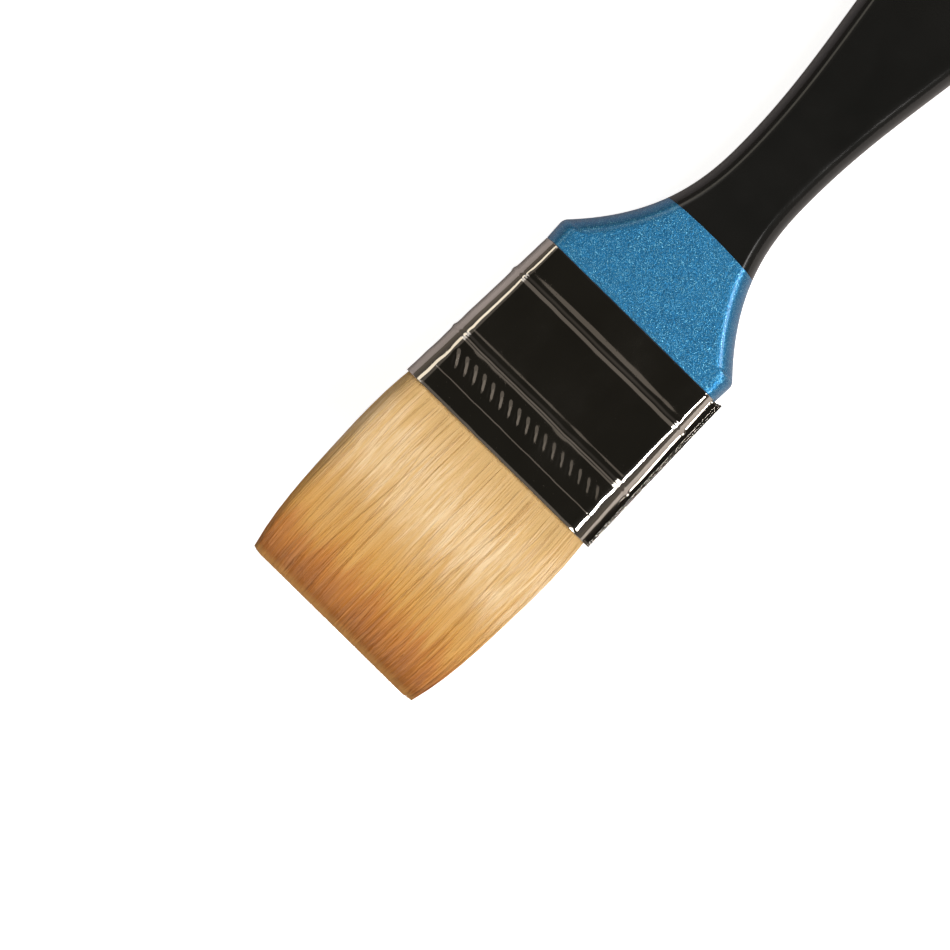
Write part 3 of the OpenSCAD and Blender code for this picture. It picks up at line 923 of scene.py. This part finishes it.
def around_brush(azimuth, elevation, distance, target):
    """A place seen from the target at that azimuth from +X and elevation, in degrees."""
    a, e = math.radians(azimuth), math.radians(elevation)
    return (
        target[0] + distance * math.cos(e) * math.cos(a),
        target[1] + distance * math.cos(e) * math.sin(a),
        target[2] + distance * math.sin(e),
    )


def make_lights():
    target = (0.05, 0.0, 0.005)
    white = (1.0, 0.985, 0.96)
    cream = (1.0, 0.93, 0.78)
    key_side = (0.049, 0.0, 0.005)
    dull = (1.0, 0.90, 0.80)
    # The key is near, so that the ferrule mirrors it and the handle, whose sides face elsewhere, doesn't
    softbox("key", around_brush(90, 43, 0.28, key_side), key_side, (0.062, 0.046), 30, white)
    softbox("far_strip", around_brush(-90, 44, 0.7, target), target, (0.75, 0.22), 1.4, cream)
    softbox("far_glow", around_brush(-90, 66, 0.7, target), target, (0.75, 0.22), 0.09, dull)
    softbox("front_glow", around_brush(0, 66, 0.7, target), target, (0.75, 0.36), 0.14, dull)
    for azimuth, radiance in ((45, 6.3), (138, 6.0), (-45, 0.8), (-135, 0.8)):
        place = around_brush(azimuth, 46, 0.8, target)
        softbox("fill_%d" % azimuth, place, target, (0.32, 0.44), radiance, white)


def make_world():
    """A dim room: darkest overhead, a little lighter towards the floor."""
    world = bpy.data.worlds.new("room")
    bpy.context.scene.world = world
    world.use_nodes = True
    tree = world.node_tree
    nodes, links = tree.nodes, tree.links
    background = nodes["Background"]
    coordinates = nodes.new("ShaderNodeTexCoord")
    separate = nodes.new("ShaderNodeSeparateXYZ")
    links.new(coordinates.outputs["Generated"], separate.inputs[0])
    ramp = nodes.new("ShaderNodeValToRGB")
    set_stops(ramp.color_ramp, [
        (0.0, (0.16, 0.14, 0.12)),
        (0.45, (0.10, 0.09, 0.08)),
        (0.85, (0.035, 0.033, 0.03)),
        (0.97, (0.018, 0.017, 0.014)),
    ])
    links.new(separate.outputs[2], ramp.inputs[0])
    links.new(ramp.outputs[0], background.inputs["Color"])


def make_camera():
    """Straight above the brush, turned so that the handle points to the upper right."""
    turn = math.radians(134.5)
    right = Vector((math.cos(turn), math.sin(turn), 0))
    up = Vector((-math.sin(turn), math.cos(turn), 0))
    mouth = Vector((mouth_x * MM, 0, middle_z * MM))
    mouth_right_of_middle = 0.0032
    mouth_above_middle = 0.00274
    target = mouth - right * mouth_right_of_middle - up * mouth_above_middle
    distance = 0.9
    frame_width = 0.1448
    data = bpy.data.cameras.new("camera")
    data.sensor_width = 36
    data.lens = 36 * distance / frame_width
    data.clip_start = 0.01
    camera = bpy.data.objects.new("camera", data)
    bpy.context.scene.collection.objects.link(camera)
    camera.location = target + Vector((0, 0, distance))
    camera.rotation_euler = (0, 0, turn)
    bpy.context.scene.camera = camera
    bpy.context.scene.view_settings.view_transform = "Standard"


# ---- the brush ----

make_camera()
make_world()
make_lights()
make_floor()

blue = make_blue_coat()
black = make_black_coat()
sheet = make_ferrule()
seam = make_seam()
core = make_core()
strands = make_strands()

wear([blue], blue_lacquer())
wear([black], black_lacquer())
wear([sheet] + seam, nickel_plate())
wear([core], filaments("packed_filaments", False))
wear(strands, filaments("loose_filaments", True))
dress_node("wooden_handle", bare_wood())
dress_node("tenon_glue", set_adhesive("glue", (0.70, 0.62, 0.42), (0.88, 0.82, 0.66), 2500))
dress_node("heel_resin", set_adhesive("resin", (0.52, 0.32, 0.10), (0.78, 0.58, 0.26), 1800))

for piece in [blue, black, sheet] + seam:
    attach(piece, "brush")
for piece in [core] + strands:
    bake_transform(piece)

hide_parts("blue_lacquer")
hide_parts("black_lacquer")
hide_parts("ferrule")
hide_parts("tuft", "tuft_root")
